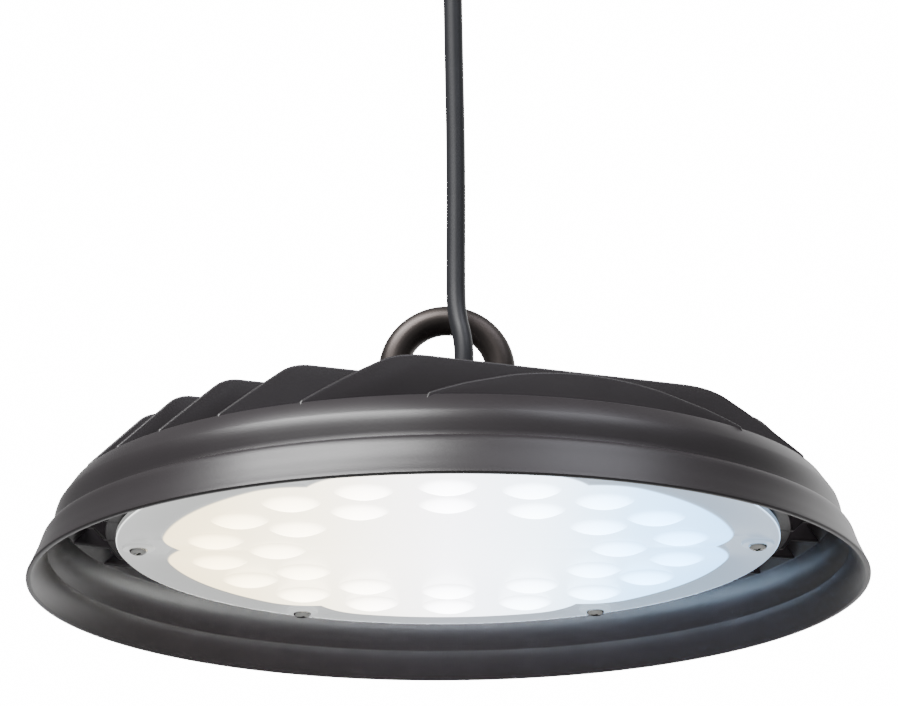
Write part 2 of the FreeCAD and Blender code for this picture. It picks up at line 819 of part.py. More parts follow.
flange_hex = hexagon("flange_hex", "gland_flats", "cover_top", "gland_flange_top", "gland_x", "gland_y")
gland_thread = rod(
    "gland_thread", "gland_thread_radius", "gland_bottom", "gland_neck_top", "gland_x", "gland_y"
)
gland_solid = fused("gland_solid", flange_hex, gland_thread)
gland_bore = rod("gland_bore", "gland_bore_radius", "gland_bottom", "gland_flange_top", "gland_x", "gland_y")
gland_seat = rod(
    "gland_seat", "gland_seat_radius", "gland_flange_top", "gland_neck_top", "gland_x", "gland_y"
)
groove = turned(
    "groove",
    [
        ("gland_thread_radius", "cover_top"),
        ("gland_thread_radius + o_ring_width", "cover_top"),
        ("gland_thread_radius + o_ring_width", "cover_top + o_ring_thickness"),
        ("gland_thread_radius", "cover_top + o_ring_thickness"),
    ],
    "gland_x",
    "gland_y",
)
piece("gland_body", cut("gland_cut", gland_solid, fused("gland_ways", gland_bore, gland_seat, groove)))
piece("gland_o_ring", groove)

seal_top = "gland_flange_top + seal_height"
seal_rod = rod("seal_rod", "gland_seat_radius", "gland_flange_top", seal_top, "gland_x", "gland_y")
seal_bore = rod("seal_bore", "cord_radius", "gland_flange_top", seal_top, "gland_x", "gland_y")
piece("gland_seal", cut("seal_cut", seal_rod, seal_bore))

dome_hex = hexagon(
    "dome_hex", "dome_flats", "dome_bottom", "dome_bottom + dome_hex_height", "gland_x", "gland_y"
)
dome_cap = primitive(
    "Cone",
    "dome_cap",
    "gland_x",
    "gland_y",
    "dome_bottom + dome_hex_height",
    Radius1="dome_flats / 2",
    Radius2="dome_top_radius",
    Height="dome_height - dome_hex_height",
)
dome_thread = rod(
    "dome_thread", "gland_thread_radius", "dome_bottom", "gland_neck_top", "gland_x", "gland_y"
)
dome_seat = rod("dome_seat", "gland_seat_radius", "gland_neck_top", seal_top, "gland_x", "gland_y")
dome_exit = rod("dome_exit", "cord_radius + screw_clearance", seal_top, "dome_top", "gland_x", "gland_y")
dome_ways = fused("dome_ways", dome_thread, dome_seat, dome_exit)
piece("gland_dome_nut", cut("dome_cut", fused("dome_solid", dome_hex, dome_cap), dome_ways))

lock_low = "cover_bottom - gland_locknut_height"
lock_hex = hexagon("lock_hex", "gland_flats", lock_low, "cover_bottom", "gland_x", "gland_y")
lock_bore = rod("lock_bore", "gland_thread_radius", lock_low, "cover_bottom", "gland_x", "gland_y")
piece("gland_locknut", cut("lock_cut", lock_hex, lock_bore))

# Pressure-equalising plug.

breather = turned(
    "breather",
    [
        ("0", "cover_bottom - breather_depth"),
        ("breather_radius", "cover_bottom - breather_depth"),
        ("breather_radius", "cover_top"),
        ("breather_head_radius", "cover_top"),
        ("breather_head_radius", "cover_top + breather_head_straight"),
        ("breather_radius", "cover_top + breather_head_height"),
        ("0", "cover_top + breather_head_height"),
    ],
    "breather_x",
    "breather_y",
)
piece("breather_plug", breather)

# Driver board on standoffs, and what stands on it.

driver_disc = rod("driver_disc", "driver_radius", "driver_bottom", "driver_top")
driver_bore = rod("driver_bore", "board_screw_radius + screw_clearance", "driver_bottom", "driver_top")
driver_bores = around(
    "driver_bores", driver_bore, size["standoff_circle"], size["standoff_count"], standoff_start
)
piece("driver_board", cut("driver_cut", driver_disc, driver_bores))

standoff_hex = hexagon("standoff_hex", "standoff_flats", "plate_top", "driver_bottom")
standoff_bore = rod("standoff_bore", "board_screw_radius", "plate_top", "driver_bottom")
standoff = cut("standoff", standoff_hex, standoff_bore)
piece(
    "driver_standoffs",
    around("standoff_set", standoff, size["standoff_circle"], size["standoff_count"], standoff_start),
)
driver_screw = screw(
    "driver_screw",
    "board_screw_radius",
    "board_screw_head_radius",
    "board_screw_head_height",
    "driver_top",
    "plate_top - board_screw_depth",
    up=True,
)
driver_screw_set = around(
    "driver_screw_set", driver_screw, size["standoff_circle"], size["standoff_count"], standoff_start
)
piece("driver_screws", driver_screw_set)


def block(name, length, width, height, x, y, z="driver_top"):
    """A box centred on a spot of the driver board."""
    return primitive(
        "Box",
        name,
        "(%s) - %s / 2" % (x, length),
        "(%s) - %s / 2" % (y, width),
        z,
        Length=length,
        Width=width,
        Height=height,
    )


piece(
    "transformer",
    block(
        "transformer_block",
        "transformer_length",
        "transformer_width",
        "transformer_height",
        "transformer_x",
        "transformer_y",
    ),
)
cans = [
    rod(
        "can_%d" % (i + 2),
        "capacitor_radius",
        "driver_top",
        "driver_top + capacitor_height",
        "%d * capacitor_pitch" % i,
        "capacitor_y",
    )
    for i in (-1, 0, 1)
]
piece("capacitors", *cans)
choke_ring = turned(
    "choke_ring",
    [
        ("choke_radius - choke_rod", "driver_top"),
        ("choke_radius + choke_rod", "driver_top"),
        ("choke_radius + choke_rod", "driver_top + 2 * choke_rod"),
        ("choke_radius - choke_rod", "driver_top + 2 * choke_rod"),
    ],
    "choke_x",
    "choke_y",
)
piece("choke", choke_ring)
switches = [
    block(
        "switch_%s" % side,
        "switch_width",
        "switch_thickness",
        "switch_height",
        "switch_x %s switch_pitch / 2" % sign,
        "switch_y",
    )
    for side, sign in (("left", "-"), ("right", "+"))
]
piece("power_switches", *switches)
piece(
    "terminal_block",
    block("terminals", "terminal_length", "terminal_width", "terminal_height", "gland_x", "terminal_y"),
)

# Leads down to the LED board through a grommet in the plate.

lead_rods = []
for side, sign in (("left", "-"), ("right", "+")):
    spot = "lead_x %s lead_pitch / 2" % sign
    lead_rods.append(rod("lead_%s" % side, "lead_radius", "board_top", "driver_bottom", spot, "lead_y"))
piece("led_leads", *lead_rods)
grommet_rod = rod("grommet_rod", "grommet_radius", "plate_height", "plate_top", "lead_x", "lead_y")
piece("lead_grommet", cut("grommet_cut", grommet_rod, fused("lead_pair", *lead_rods)))

# Cord: jacket, three cores and their ferrules.

gland_axis = Vector(size["gland_x"], size["gland_y"], 0)
jacket_low = size["gland_bottom"] - size["jacket_below_gland"]
exit_point = gland_axis + Vector(0, 0, size["dome_top"])
route = [gland_axis + Vector(0, 0, jacket_low)] + [exit_point + Vector(*step) for step in CORD_ROUTE]
piece("cord_jacket", tube("jacket", route, size["cord_radius"]))

end = route[-1]
along = (route[-1] - route[-2]).normalize()
across = along.cross(Vector(0, 1, 0)).normalize()
square = along.cross(across)
core_radius = size["core_diameter"] / 2
terminal_face = size["terminal_y"] + size["terminal_width"] / 2
ferrules = []
for colour, clock, pole, above_board in (
    ("brown", 210, -1, "core_above_board"),
    ("blue", 330, 1, "core_above_board"),
    ("green_yellow", 90, 0, "earth_above_board"),
):
    turn = math.radians(clock)
    offset = Vector(math.cos(turn), math.sin(turn), 0) * size["core_circle"]
    top = gland_axis + offset + Vector(0, 0, jacket_low)
    low = Vector(top.x, top.y, size["driver_top"] + size[above_board])
    far = Vector(size["gland_x"] + pole * size["terminal_pitch"], terminal_face, low.z)
    piece("inner_core_" + colour, tube("inner_tube_" + colour, [top, low, far], core_radius))
    root = end + across * offset.x + square * offset.y
    tip = root + along * size["core_free_length"]
    free = doc.addObject("Part::Feature", "free_core_" + colour)
    free.Shape = Part.makeCylinder(core_radius, size["core_free_length"], root, along)
    piece("core_" + colour, free)
    ferrules.append(Part.makeCylinder(size["ferrule_radius"], size["ferrule_length"], tip, along))
ferrule_set = doc.addObject("Part::Feature", "ferrule_set")
ferrule_set.Shape = Part.makeCompound(ferrules)
piece("core_ferrules", ferrule_set)

# Check and export.

doc.recompute()
for thing in doc.Objects:
    if "Invalid" in thing.State or "Error" in thing.State:
        raise RuntimeError("failed: " + thing.Name)
os.makedirs("parts", exist_ok=True)
for whole in PIECES:
    if whole.Shape.isNull() or not whole.Shape.isValid():
        raise RuntimeError("bad shape: " + whole.Label)
    whole.Shape.exportStep(os.path.join("parts", whole.Label + ".step"))
    print(whole.Label, len(whole.Shape.Solids), round(whole.Shape.Volume, 1))
print("bearing height", size["bearing_height"], "exit", exit_point, "pieces", len(PIECES))
print("route", [tuple(round(v, 2) for v in (p.x, p.y, p.z - size["bearing_height"])) for p in route])
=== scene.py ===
import math

import bpy
from mathutils import Matrix, Vector


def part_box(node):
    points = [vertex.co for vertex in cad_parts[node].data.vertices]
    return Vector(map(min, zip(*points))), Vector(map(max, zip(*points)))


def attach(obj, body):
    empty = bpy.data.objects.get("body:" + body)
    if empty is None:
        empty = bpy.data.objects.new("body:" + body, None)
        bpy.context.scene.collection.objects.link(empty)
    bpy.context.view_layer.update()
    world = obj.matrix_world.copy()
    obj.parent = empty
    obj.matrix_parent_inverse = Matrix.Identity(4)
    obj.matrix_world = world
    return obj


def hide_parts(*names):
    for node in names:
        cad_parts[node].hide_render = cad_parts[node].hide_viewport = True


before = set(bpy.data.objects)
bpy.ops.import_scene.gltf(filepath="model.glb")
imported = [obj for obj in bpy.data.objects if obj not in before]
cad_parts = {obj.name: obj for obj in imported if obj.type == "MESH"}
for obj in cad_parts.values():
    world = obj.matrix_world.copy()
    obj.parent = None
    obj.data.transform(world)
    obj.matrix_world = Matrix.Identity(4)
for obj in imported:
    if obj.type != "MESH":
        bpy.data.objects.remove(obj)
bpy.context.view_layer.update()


# Housing: one aluminium die casting, powder coated. The thin skirt, the base plate with the
# wall of the driver space, the screw posts and the straight parallel fins leave the mould
# together. Every outer edge is rounded, so that the coat holds on it.
MM = 0.001
RIM_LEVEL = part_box("housing")[0].z
POLE = 0.005
SKIRT_SECTION = [
    (167.8, 0), (169.5, 0), (170.0, 0.5), (169.0, 2.3), (168.0, 4.6), (166.9, 7.0),
    (165.9, 9.3), (165.1, 11.6), (164.4, 13.6), (163.8, 15.2), (163.0, 16.4), (161.7, 17.1),
    (159.9, 17.3), (159.6, 19.6), (159.4, 22.0), (159.1, 24.0), (158.8, 25.7), (158.3, 27.3),
    (157.9, 28.4), (153.0, 35.3), (150.6, 35.3), (150.6, 32.5),
    (155.9, 25.8), (156.8, 20.6), (158.2, 16.6), (159.8, 13.8), (161.5, 11.6), (161.8, 9.6),
    (162.7, 7.2), (164.2, 4.6), (166.0, 2.1),
]
INNER_CREASE = SKIRT_SECTION[-5]
HUB_RADIUS, HUB_BORE, HUB_TOP = 72.0, 68.5, 50.0
PLATE_SECTION = [
    (POLE, 21), (138.5, 21), (138.5, 24.8), (137.3, 26), (HUB_RADIUS + 2, 26), (HUB_RADIUS, 28),
    (HUB_RADIUS, HUB_TOP), (HUB_BORE, HUB_TOP), (HUB_BORE, 26), (POLE, 26),
]
FINS_EACH_SIDE, FIN_PITCH, FIN_THICKNESS, FIN_TURN = 5, 27.7, 2.4, math.radians(22.3)
FIN_TOP, FIN_BOTTOM, RING_TOP = 59.5, 21.0, 35.3
FIN_FOOT, FOOT_RISE, FOOT_RUN = 152.4, 1.0, 0.8
CREST_SLOPE, SHOULDER_ROUND = math.radians(44), 13.2
FIN_STATIONS = [
    123.2, 124.4, 125.6, 126.8, 128.0, 129.2, 130.3, 131.3, 132.2, 137.0, 142.0, 147.0, 150.0,
    152.0, 152.4, 152.8,
]
FIN_RING_END = [(153.1, 34.2), (157.2, 26.8), (157.2, 25.8), (143.5, 25.2), (139.5, FIN_BOTTOM)]
FIN_HUB_END = [
    (70.2, FIN_BOTTOM), (70.2, HUB_TOP - 1.5), (73.5, HUB_TOP - 1.5), (73.5, FIN_TOP - 7),
    (80.5, FIN_TOP),
]
TOP_STEPS = 8
SCREW_POST = [(POLE, 22), (4.6, 22), (4.6, 31), (POLE, 31)]
LENS_SCREWS = [(125.2, math.radians(30 + 60 * i)) for i in range(6)]


def level_of(height):
    """A height above the rim's lower face as a height in the frame."""
    return height * MM + RIM_LEVEL


def turned(name, section, sides=192, spot=(0, 0)):
    """A turned piece: a circle drawn out and narrowed from corner to corner of its section."""
    bpy.ops.object.select_all(action="DESELECT")
    radius, height = section[0]
    bpy.ops.mesh.primitive_circle_add(vertices=sides, radius=radius * MM)
    thing = bpy.context.object
    thing.name = thing.data.name = name
    bpy.ops.object.mode_set(mode="EDIT")
    bpy.ops.mesh.select_all(action="SELECT")
    bpy.ops.transform.translate(value=(0, 0, level_of(height)))
    closed = section[0][0] > POLE
    corners = section + section[:1] if closed else section
    for (r, h), (r_next, h_next) in zip(corners, corners[1:]):
        rise = (0, 0, (h_next - h) * MM)
        bpy.ops.mesh.extrude_region_move(TRANSFORM_OT_translate={"value": rise})
        bpy.ops.transform.resize(value=(r_next / r, r_next / r, 1), center_override=(0, 0, 0))
    bpy.ops.mesh.select_all(action="SELECT")
    bpy.ops.mesh.remove_doubles(threshold=1e-5)
    bpy.ops.mesh.normals_make_consistent(inside=False)
    bpy.ops.transform.translate(value=(spot[0] * MM, spot[1] * MM, 0))
    bpy.ops.object.mode_set(mode="OBJECT")
    return thing


def edge_rounds(thing, radius, steps=3, sharper_than=30):
    """Round the edges of a piece that are sharper than an angle."""
    bevel = thing.modifiers.new("edge_rounds", "BEVEL")
    bevel.width, bevel.segments = radius * MM, steps
    bevel.limit_method, bevel.angle_limit = "ANGLE", math.radians(sharper_than)
    bpy.context.view_layer.objects.active = thing
    bpy.ops.object.modifier_apply(modifier=bevel.name)
    return thing


def joined(name, things):
    """Pieces that are one piece in the end, under one name and smooth up to 35 degrees."""
    bpy.ops.object.select_all(action="DESELECT")
    for thing in things:
        thing.select_set(True)
    bpy.context.view_layer.objects.active = things[0]
    if len(things) > 1:
        bpy.ops.object.join()
    whole = bpy.context.view_layer.objects.active
    whole.name = whole.data.name = name
    bpy.ops.object.shade_smooth_by_angle(angle=math.radians(35))
    return whole


def around(radius, turn):
    """A spot at a distance from the axis and an angle from the front."""
    return radius * math.sin(turn), -radius * math.cos(turn)


def crest(radius):
    """Height of the fins' domed envelope at a distance from the axis, with its steep foot."""
    shoulder = SHOULDER_ROUND * math.tan(CREST_SLOPE / 2)
    corner = FIN_FOOT - (FIN_TOP - RING_TOP - FOOT_RISE) / math.tan(CREST_SLOPE)
    if radius >= FIN_FOOT + FOOT_RUN:
        return RING_TOP
    if radius > FIN_FOOT:
        return RING_TOP + FOOT_RISE * (FIN_FOOT + FOOT_RUN - radius) / FOOT_RUN
    if radius > corner + shoulder * math.cos(CREST_SLOPE):
        return RING_TOP + FOOT_RISE + (FIN_FOOT - radius) * math.tan(CREST_SLOPE)
    if radius > corner - shoulder:
        past = radius - (corner - shoulder)
        return FIN_TOP - SHOULDER_ROUND + math.sqrt(SHOULDER_ROUND ** 2 - past ** 2)
    return FIN_TOP


def fin_outline(middle):
    """The right half of a fin's side view, from the middle or the hub outwards and back."""
    def along(radius):
        """How far along the fin a circle about the axis crosses it."""
        return math.sqrt(max(radius ** 2 - middle ** 2, 0))

    crosses_hub = abs(middle) < HUB_RADIUS + 1.5
    if crosses_hub:
        points = [(along(radius), z) for radius, z in FIN_HUB_END]
    else:
        points = [(0.0, crest(abs(middle)))]
    reach = [along(radius) for radius in FIN_STATIONS if radius > abs(middle) + 0.2]
    start = points[-1][0]
    top = [start + (reach[0] - start) * i / TOP_STEPS for i in range(1, TOP_STEPS)] + reach
    points += [(x, crest(math.hypot(x, middle))) for x in top]
    points += [(along(radius), z) for radius, z in FIN_RING_END]
    return points, crosses_hub


def fin(outline, middle):
    """One blade: its outline as a flat face, drawn out to the thickness, its edges rounded."""
    bpy.ops.object.select_all(action="DESELECT")
    bpy.ops.mesh.primitive_circle_add(vertices=len(outline), radius=MM, fill_type="NGON")
    blade = bpy.context.object
    turn, side = Matrix.Rotation(FIN_TURN, 3, "Z"), (middle - FIN_THICKNESS / 2) * MM
    for vertex, (x, z) in zip(blade.data.vertices, outline):
        vertex.co = turn @ Vector((x * MM, side, level_of(z)))
    bpy.ops.object.mode_set(mode="EDIT")
    bpy.ops.mesh.select_all(action="SELECT")
    across = turn @ Vector((0, FIN_THICKNESS * MM, 0))
    bpy.ops.mesh.extrude_region_move(TRANSFORM_OT_translate={"value": across})
    bpy.ops.mesh.select_all(action="SELECT")
    bpy.ops.mesh.normals_make_consistent(inside=False)
    bpy.ops.object.mode_set(mode="OBJECT")
    return edge_rounds(blade, 1.0, sharper_than=60)


casting = [edge_rounds(turned("skirt", SKIRT_SECTION, 256), 0.8, sharper_than=24)]
casting.append(edge_rounds(turned("plate", PLATE_SECTION, 144), 0.6, 2))
for count in range(-FINS_EACH_SIDE, FINS_EACH_SIDE + 1):
    middle = count * FIN_PITCH
    right, crosses_hub = fin_outline(middle)
    left = [(-x, z) for x, z in reversed(right)]
    if crosses_hub:
        casting += [fin(right, middle), fin(left, middle)]
    else:
        casting.append(fin(left + [p for p in right if p[0] > 0], middle))
for radius, turn in LENS_SCREWS:
    casting.append(edge_rounds(turned("screw_post", SCREW_POST, 32, around(radius, turn)), 0.7))
housing = joined("housing_casting", casting)
# The inner wall keeps one sharp crease, although its sides meet at a shallow angle.
for edge in housing.data.edges:
    ends = [housing.data.vertices[i].co for i in edge.vertices]
    spots = [(math.hypot(end.x, end.y) / MM, (end.z - RIM_LEVEL) / MM) for end in ends]
    if all(math.dist(spot, INNER_CREASE) < 0.1 for spot in spots):
        edge.use_edge_sharp = True


def linear(code):
    """An sRGB hex colour as linear red, green, blue and alpha."""
    channels = [int(code[i:i + 2], 16) / 255 for i in (0, 2, 4)]
    return [c / 12.92 if c <= 0.04045 else ((c + 0.055) / 1.055) ** 2.4 for c in channels] + [1.0]


def add(tree, kind, sockets, **settings):
    """Add a node to a material: its settings, and for each socket a value or another's output."""
    node = tree.nodes.new(kind)
    for name, value in settings.items():
        setattr(node, name, value)
    for name, value in sockets.items():
        if isinstance(value, bpy.types.NodeSocket):
            tree.links.new(value, node.inputs[name])
        else:
            node.inputs[name].default_value = value
    return node


def surface(name, tones, patch, roughness, grain, relief, metallic=0.0):
    """A material of two close tones in patches and a fine relief, all sizes in millimetres."""
    made = bpy.data.materials.new(name)
    made.use_nodes = True
    tree, shader = made.node_tree, made.node_tree.nodes["Principled BSDF"]
    place = add(tree, "ShaderNodeTexCoord", {}).outputs["Object"]
    clouds = add(
        tree, "ShaderNodeTexNoise", {"Vector": place, "Scale": 1 / (patch * MM), "Detail": 3.0}
    )
    blend = add(
        tree, "ShaderNodeMix", {0: clouds.outputs["Fac"], 6: linear(tones[0]), 7: linear(tones[1])},
        data_type="RGBA",
    )
    tree.links.new(blend.outputs[2], shader.inputs["Base Color"])
    rough = add(
        tree, "ShaderNodeMapRange",
        {"Value": clouds.outputs["Fac"], "To Min": roughness - 0.04, "To Max": roughness + 0.04},
    )
    tree.links.new(rough.outputs["Result"], shader.inputs["Roughness"])
    skin = add(
        tree, "ShaderNodeTexNoise", {"Vector": place, "Scale": 1 / (grain * MM), "Detail": 2.0}
    )
    bump = add(
        tree, "ShaderNodeBump",
        {"Height": skin.outputs["Fac"], "Strength": 0.6, "Distance": relief * MM},
    )
    tree.links.new(bump.outputs["Normal"], shader.inputs["Normal"])
    shader.inputs["Metallic"].default_value = metallic
    if not metallic:
        shader.inputs["IOR"].default_value = 1.5
    return made


def coat(thing, finish):
    """Give a piece or a carried-over solid one finish all over."""
    thing.data.materials.clear()
    thing.data.materials.append(finish)
    for face in thing.data.polygons:
        face.material_index = 0
    return thing


# Satin dark grey powder coat on die-cast aluminium: a fine orange peel of about a millimetre,
# cloudy in tone over a few centimetres, with soft broad highlights.
powder_coat = surface(
    "powder_coat_on_die_cast_aluminium", ("252123", "2b272a"), 35, 0.36, 0.9, 0.02
)
coat(housing, powder_coat)
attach(housing, "root")
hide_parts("housing")


# LED board on its thermal pad: a white solder-masked aluminium disc with thirty square
# emitters, screwed up against the base plate. It is hidden behind the frosted lens.
for node, finish in (
    ("thermal_pad", surface("gap_pad_silicone", ("4c4d52", "565759"), 8, 0.8, 0.6, 0.02)),
    ("led_board", surface("white_solder_mask", ("e8e8e2", "f2f2ee"), 15, 0.35, 0.7, 0.01)),
    ("leds", surface("phosphor_in_silicone", ("e8d27c", "f0dc8e"), 3, 0.4, 0.5, 0.01)),
    ("board_screws", surface(
        "zinc_plated_steel", ("a9aaa6", "bfc0bc"), 3, 0.3, 0.4, 0.005, metallic=1.0
    )),
):
    coat(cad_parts[node], finish)


# Lens plate: one moulding of clear polycarbonate, frosted on its back, so that it glows all
# over when lit. A flat flange carries the screws, a raised field is drawn in to a notch at
# each of them, and a shallow dome stands over each emitter.
LENS_RADIUS, FLANGE_BOTTOM = 134.0, 17.0
FIELD_RADIUS, FIELD_BOTTOM, NOTCH_DEPTH, NOTCH_HALF = 116.5, 15.5, 7.4, 24.0
CELL_RADIUS, CELL_DEPTH, CELL_RINGS = 11.6, 3.0, ((94.8, 18), (69.0, 12))
# The rim glows far more strongly at the far side than at the near side: that painted glow is a
# hidden light for the inside of the skirt.
FACE_GLOW, NEAR_EDGE_GLOW, FAR_EDGE_HIDDEN_LIGHT = 14.0, 75.0, 2800.0
LENS_SECTION = [
    (POLE, 17.3), (108.0, 17.3), (108.0, 20.0), (133.5, 20.0), (LENS_RADIUS, 19.5),
    (LENS_RADIUS, 17.5), (133.5, FLANGE_BOTTOM), (116.8, FLANGE_BOTTOM), (FIELD_RADIUS, 16.8),
    (116.4, 16.3), (116.0, 15.8), (115.2, FIELD_BOTTOM), (POLE, FIELD_BOTTOM),
]
SCREW_BOSS = [(POLE, 17.2), (6.9, 17.2), (6.6, 16.4), (6.3, 16.1), (POLE, 16.1)]
lens_plate = turned("lens_plate", LENS_SECTION, 360)
for vertex in lens_plate.data.vertices:
    height = (vertex.co.z - RIM_LEVEL) / MM
    radius = math.hypot(vertex.co.x, vertex.co.y) / MM
    if height > FLANGE_BOTTOM + 0.05 or abs(radius - FIELD_RADIUS) > 1.5:
        continue
    for circle, turn in LENS_SCREWS:
        azimuth = math.atan2(vertex.co.x, -vertex.co.y) - turn
        offset = circle * math.sin(azimuth)
        if math.cos(azimuth) > 0 and abs(offset) < NOTCH_HALF:
            drawn_in = NOTCH_DEPTH * (1 - abs(offset) / NOTCH_HALF) ** 2
            scale = (radius - drawn_in) / radius
            vertex.co.x *= scale
            vertex.co.y *= scale
lens_parts = [lens_plate]
bow = (CELL_RADIUS ** 2 + CELL_DEPTH ** 2) / (2 * CELL_DEPTH)
dome = [(POLE, FIELD_BOTTOM - CELL_DEPTH)]
for share in (0.14, 0.28, 0.42, 0.56, 0.7, 0.82, 0.92, 1.0):
    radius = CELL_RADIUS * share
    dome.append((radius, FIELD_BOTTOM - CELL_DEPTH + bow - math.sqrt(bow ** 2 - radius ** 2)))
dome += [(CELL_RADIUS, FIELD_BOTTOM + 0.4), (POLE, FIELD_BOTTOM + 0.4)]
first_cell = turned("cell", dome, 40)
for ring_radius, ring_count in CELL_RINGS:
    for i in range(ring_count):
        x, y = around(ring_radius, 2 * math.pi * i / ring_count)
        cell = first_cell.copy()
        cell.data = first_cell.data.copy()
        cell.data.transform(Matrix.Translation((x * MM, y * MM, 0)))
        bpy.context.collection.objects.link(cell)
        lens_parts.append(cell)
bpy.data.objects.remove(first_cell)
for circle, turn in LENS_SCREWS:
    lens_parts.append(turned("screw_boss", SCREW_BOSS, 40, around(circle, turn)))
lens = joined("lens_moulding", lens_parts)

# Lit polycarbonate: warm white on the left, neutral in the middle and cool on the right, as
# the three colours that the light can be set to. The domes over the emitters are brightest,
# and the clear flange shows grey. The rim of the plate glows brighter than its face, as the
# light that the plate guides along comes out there. At the far side this rim glow is painted
# many times stronger, as a hidden light that throws light onto the inside of the skirt.
lit = bpy.data.materials.new("frosted_polycarbonate_lit")
lit.use_nodes = True
tree, shader = lit.node_tree, lit.node_tree.nodes["Principled BSDF"]
place = add(tree, "ShaderNodeTexCoord", {}).outputs["Object"]
parts = add(tree, "ShaderNodeSeparateXYZ", {"Vector": place})


def ramp(value, low, high, stops):
    """A colour ramp over a value in metres. Its stops, from 0 to 1, are each a place and a code."""
    share = add(tree, "ShaderNodeMapRange", {"Value": value, "From Min": low, "From Max": high})
    made = add(tree, "ShaderNodeValToRGB", {"Fac": share.outputs["Result"]})
    colours = made.color_ramp.elements
    colours[0].color, colours[-1].color = linear(stops[0][1]), linear(stops[-1][1])
    for spot, code in stops[1:-1]:
        colours.new(spot).color = linear(code)
    return made.outputs["Color"]


tone = ramp(parts.outputs["X"], -LENS_RADIUS * MM, LENS_RADIUS * MM, (
    (0.0, "c8b384"), (0.16, "dccba2"), (0.32, "f0e5cc"), (0.5, "f8f8ff"), (0.64, "dceeff"),
    (0.78, "96ccfa"), (1.0, "58a2e0"),
))
brightness = ramp(parts.outputs["Z"], level_of(FIELD_BOTTOM - CELL_DEPTH), level_of(17.9), (
    (0.0, "ffffff"), (0.3, "e6e6e6"), (0.51, "b6b6b6"), (0.57, "afafaf"), (0.61, "6a6a6a"),
    (0.67, "4c4c4c"), (0.72, "4c4c4c"), (0.82, "464646"), (0.92, "464646"), (0.94, "181818"),
    (1.0, "181818"),
))
flat = add(tree, "ShaderNodeCombineXYZ", {"X": parts.outputs["X"], "Y": parts.outputs["Y"]})
from_axis = add(tree, "ShaderNodeVectorMath", {0: flat.outputs["Vector"]}, operation="LENGTH")
# Painted glow: the rim's glow rises from the near side to the far side, where it serves as a hidden
# light for the inside of the skirt.
edge_glow_and_far_hidden_light = add(
    tree, "ShaderNodeMapRange",
    {"Value": parts.outputs["Y"], "From Min": 30 * MM, "From Max": 100 * MM,
     "To Min": NEAR_EDGE_GLOW, "To Max": FAR_EDGE_HIDDEN_LIGHT},
    interpolation_type="SMOOTHSTEP",
)
glow = add(
    tree, "ShaderNodeMapRange",
    {"Value": from_axis.outputs["Value"], "From Min": (LENS_RADIUS - 0.6) * MM,
     "From Max": LENS_RADIUS * MM, "To Min": FACE_GLOW, "To Max": edge_glow_and_far_hidden_light.outputs["Result"]},
)
strength = add(
    tree, "ShaderNodeMath", {0: brightness, 1: glow.outputs["Result"]}, operation="MULTIPLY"
)
paled = add(
    tree, "ShaderNodeMapRange",
    {"Value": parts.outputs["Z"], "From Min": level_of(FIELD_BOTTOM + 0.1),
     "From Max": level_of(FIELD_BOTTOM + 0.6), "To Max": 0.55},
)
hue = add(
    tree, "ShaderNodeMix", {0: paled.outputs["Result"], 6: tone, 7: linear("d8e8fa")},
    data_type="RGBA",
)
tree.links.new(hue.outputs[2], shader.inputs["Emission Color"])
tree.links.new(strength.outputs["Value"], shader.inputs["Emission Strength"])
shader.inputs["Base Color"].default_value = linear("b4b6b8")
frost = add(tree, "ShaderNodeTexNoise", {"Vector": place, "Scale": 1 / (1.2 * MM), "Detail": 2.0})
skin = add(
    tree, "ShaderNodeBump",
    {"Height": frost.outputs["Fac"], "Strength": 0.3, "Distance": 0.02 * MM},
)
tree.links.new(skin.outputs["Normal"], shader.inputs["Normal"])
shader.inputs["Roughness"].default_value = 0.25
shader.inputs["IOR"].default_value = 1.58
coat(lens, lit)
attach(lens, "root")
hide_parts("lens")
silicone = surface("grey_silicone", ("8f8f8f", "9c9c9c"), 6, 0.7, 0.5, 0.01)
coat(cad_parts["lens_gasket"], silicone)


# Lens screws: six stainless pan-head screws with a cross recess, each in a small boss of the
# lens plate.
CROSS_TURN, BLADE_SHARE = 0.4, 0.26
LENS_SCREW_SECTION = [
    (POLE, 14.1), (2.4, 14.2), (3.3, 14.7), (3.8, 15.6), (3.8, 16.1), (2.0, 16.1), (2.0, 30),
    (POLE, 30),
]


def cross_head(name, section, face, recess, depth, spot):
    """A turned screw with a cross pressed into its head, whose face is at a height."""
    head = edge_rounds(turned(name, section, 40), 0.3, 2)
    for turn in (0, math.pi / 2):
        bpy.ops.object.select_all(action="DESELECT")
        bpy.ops.mesh.primitive_cube_add(size=1)
        tool = bpy.context.object
        tool.data.transform(
            Matrix.Translation((0, 0, level_of(face)))
            @ Matrix.Rotation(turn + CROSS_TURN, 4, "Z")
            @ Matrix.Diagonal((recess * MM, recess * BLADE_SHARE * MM, 2 * depth * MM, 1))
        )
        pressed = head.modifiers.new("recess", "BOOLEAN")
        pressed.operation, pressed.object, pressed.solver = "DIFFERENCE", tool, "EXACT"
        bpy.context.view_layer.objects.active = head
        bpy.ops.object.modifier_apply(modifier=pressed.name)
        bpy.data.objects.remove(tool)
    head.data.transform(Matrix.Translation((spot[0] * MM, spot[1] * MM, 0)))
    return head


lens_screws = joined("lens_screw_set", [
    cross_head("lens_screw", LENS_SCREW_SECTION, 14.1, 4.2, 1.1, around(circle, turn))
    for circle, turn in LENS_SCREWS
])
stainless = surface(
    "turned_stainless_steel", ("b9b9b6", "c8c8c5"), 4, 0.24, 0.3, 0.003, metallic=1.0
)
coat(lens_screws, stainless)
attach(lens_screws, "root")
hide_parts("lens_screws")


